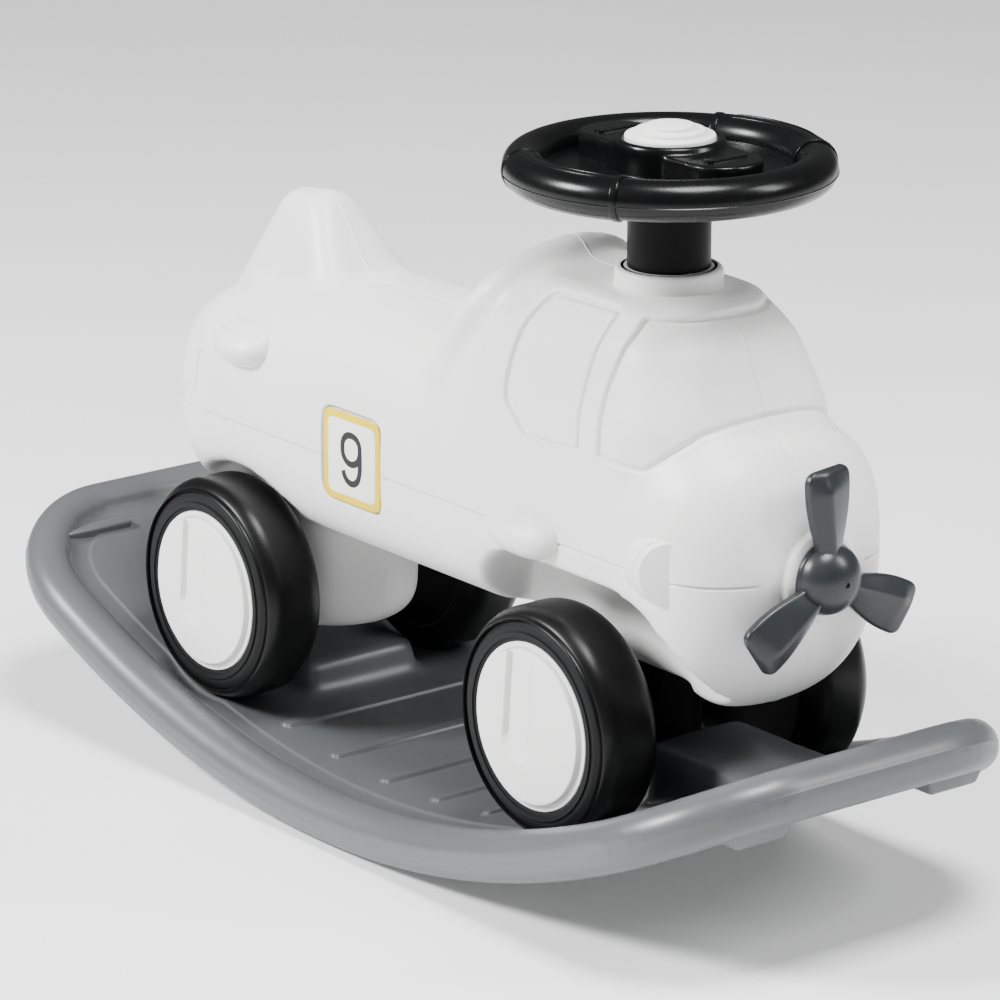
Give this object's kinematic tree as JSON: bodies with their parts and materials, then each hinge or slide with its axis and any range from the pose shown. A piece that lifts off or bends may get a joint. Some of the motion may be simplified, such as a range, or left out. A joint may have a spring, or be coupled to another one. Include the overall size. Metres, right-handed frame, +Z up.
{
  "type": "ride on airplane toy",
  "caption": "Toddler's ride-on aeroplane with wheels, steering wheel, horn button and spinning propeller, standing on a curved rocking board that lifts off.",
  "frame": {"origin": "on the floor under the middle of the rocking board", "axes": "+X towards the nose, +Y to the rider's left, +Z up"},
  "size_m": [0.776, 0.298, 0.4867],
  "materials": {
    "board_grey": "satin moulded grey",
    "body_white": "fine-grained blow-moulded white",
    "trim_white": "smooth white",
    "label_yellow": "printed film",
    "gear_black": "plain black",
    "steering_black": "satin black",
    "tyre_black": "smooth black",
    "rim_dark": "satin black",
    "propeller_grey": "satin dark grey",
    "steel": "zinc plated",
    "bellows_rubber": "soft dark grey"
  },
  "bodies": {
    "rocker": {"rocker_board": "board_grey"},
    "airframe": {"body_shell": "body_white", "number_label_right": "label_yellow", "number_label_left": "label_yellow", "upper_column_bush": "body_white", "lower_column_bush": "gear_black", "propeller_pin": "steel", "propeller_washer": "steel", "rear_axle": "steel", "rear_axle_bushes": "gear_black", "rear_axle_washers": "steel", "rear_axle_push_nuts": "steel"},
    "steering": {"front_axle_yoke": "gear_black", "front_axle": "steel", "front_axle_washers": "steel", "front_axle_push_nuts": "steel", "steering_shaft": "steel", "shaft_cross_pin": "steel", "steering_column": "steering_black", "steering_wheel_lower": "steering_black", "steering_wheel_upper": "steering_black", "steering_wheel_floor": "steering_black", "steering_wheel_screws": "steel", "steering_nut": "steel", "horn_bellows": "bellows_rubber"},
    "horn": {"horn_button": "trim_white"},
    "spinner": {"propeller": "propeller_grey"},
    "front_right_wheel": {"front_right_tyre": "tyre_black", "front_right_wheel_rim": "rim_dark", "front_right_hub_cap": "trim_white"},
    "front_left_wheel": {"front_left_tyre": "tyre_black", "front_left_wheel_rim": "rim_dark", "front_left_hub_cap": "trim_white"},
    "rear_right_wheel": {"rear_right_tyre": "tyre_black", "rear_right_wheel_rim": "rim_dark", "rear_right_hub_cap": "trim_white"},
    "rear_left_wheel": {"rear_left_tyre": "tyre_black", "rear_left_wheel_rim": "rim_dark", "rear_left_hub_cap": "trim_white"}
  },
  "joints": [
    {"name": "lift_off", "type": "slide", "parent": "rocker", "child": "airframe", "axis": [0, 0, 1], "range_m": [0, 0.15]},
    {"name": "steer", "type": "hinge", "parent": "airframe", "child": "steering", "pos_m": [0.182, 0, 0.12], "axis": [0, 0, 1], "range_deg": [-18, 18]},
    {"name": "horn_press", "type": "slide", "parent": "steering", "child": "horn", "axis": [0, 0, -1], "range_m": [0, 0.004], "stiffness_N_per_m": 800, "springref_m": -0.0015, "deforming": ["horn_bellows"]},
    {"name": "propeller_spin", "type": "hinge", "parent": "airframe", "child": "spinner", "pos_m": [0.34, 0, 0.233], "axis": [1, 0, 0], "continuous": true},
    {"name": "front_right_roll", "type": "hinge", "parent": "steering", "child": "front_right_wheel", "pos_m": [0.182, -0.086, 0.12], "axis": [0, 1, 0], "continuous": true},
    {"name": "front_left_roll", "type": "hinge", "parent": "steering", "child": "front_left_wheel", "pos_m": [0.182, 0.086, 0.12], "axis": [0, 1, 0], "continuous": true},
    {"name": "rear_right_roll", "type": "hinge", "parent": "airframe", "child": "rear_right_wheel", "pos_m": [-0.166, -0.086, 0.12], "axis": [0, 1, 0], "continuous": true},
    {"name": "rear_left_roll", "type": "hinge", "parent": "airframe", "child": "rear_left_wheel", "pos_m": [-0.166, 0.086, 0.12], "axis": [0, 1, 0], "continuous": true}
  ]
}
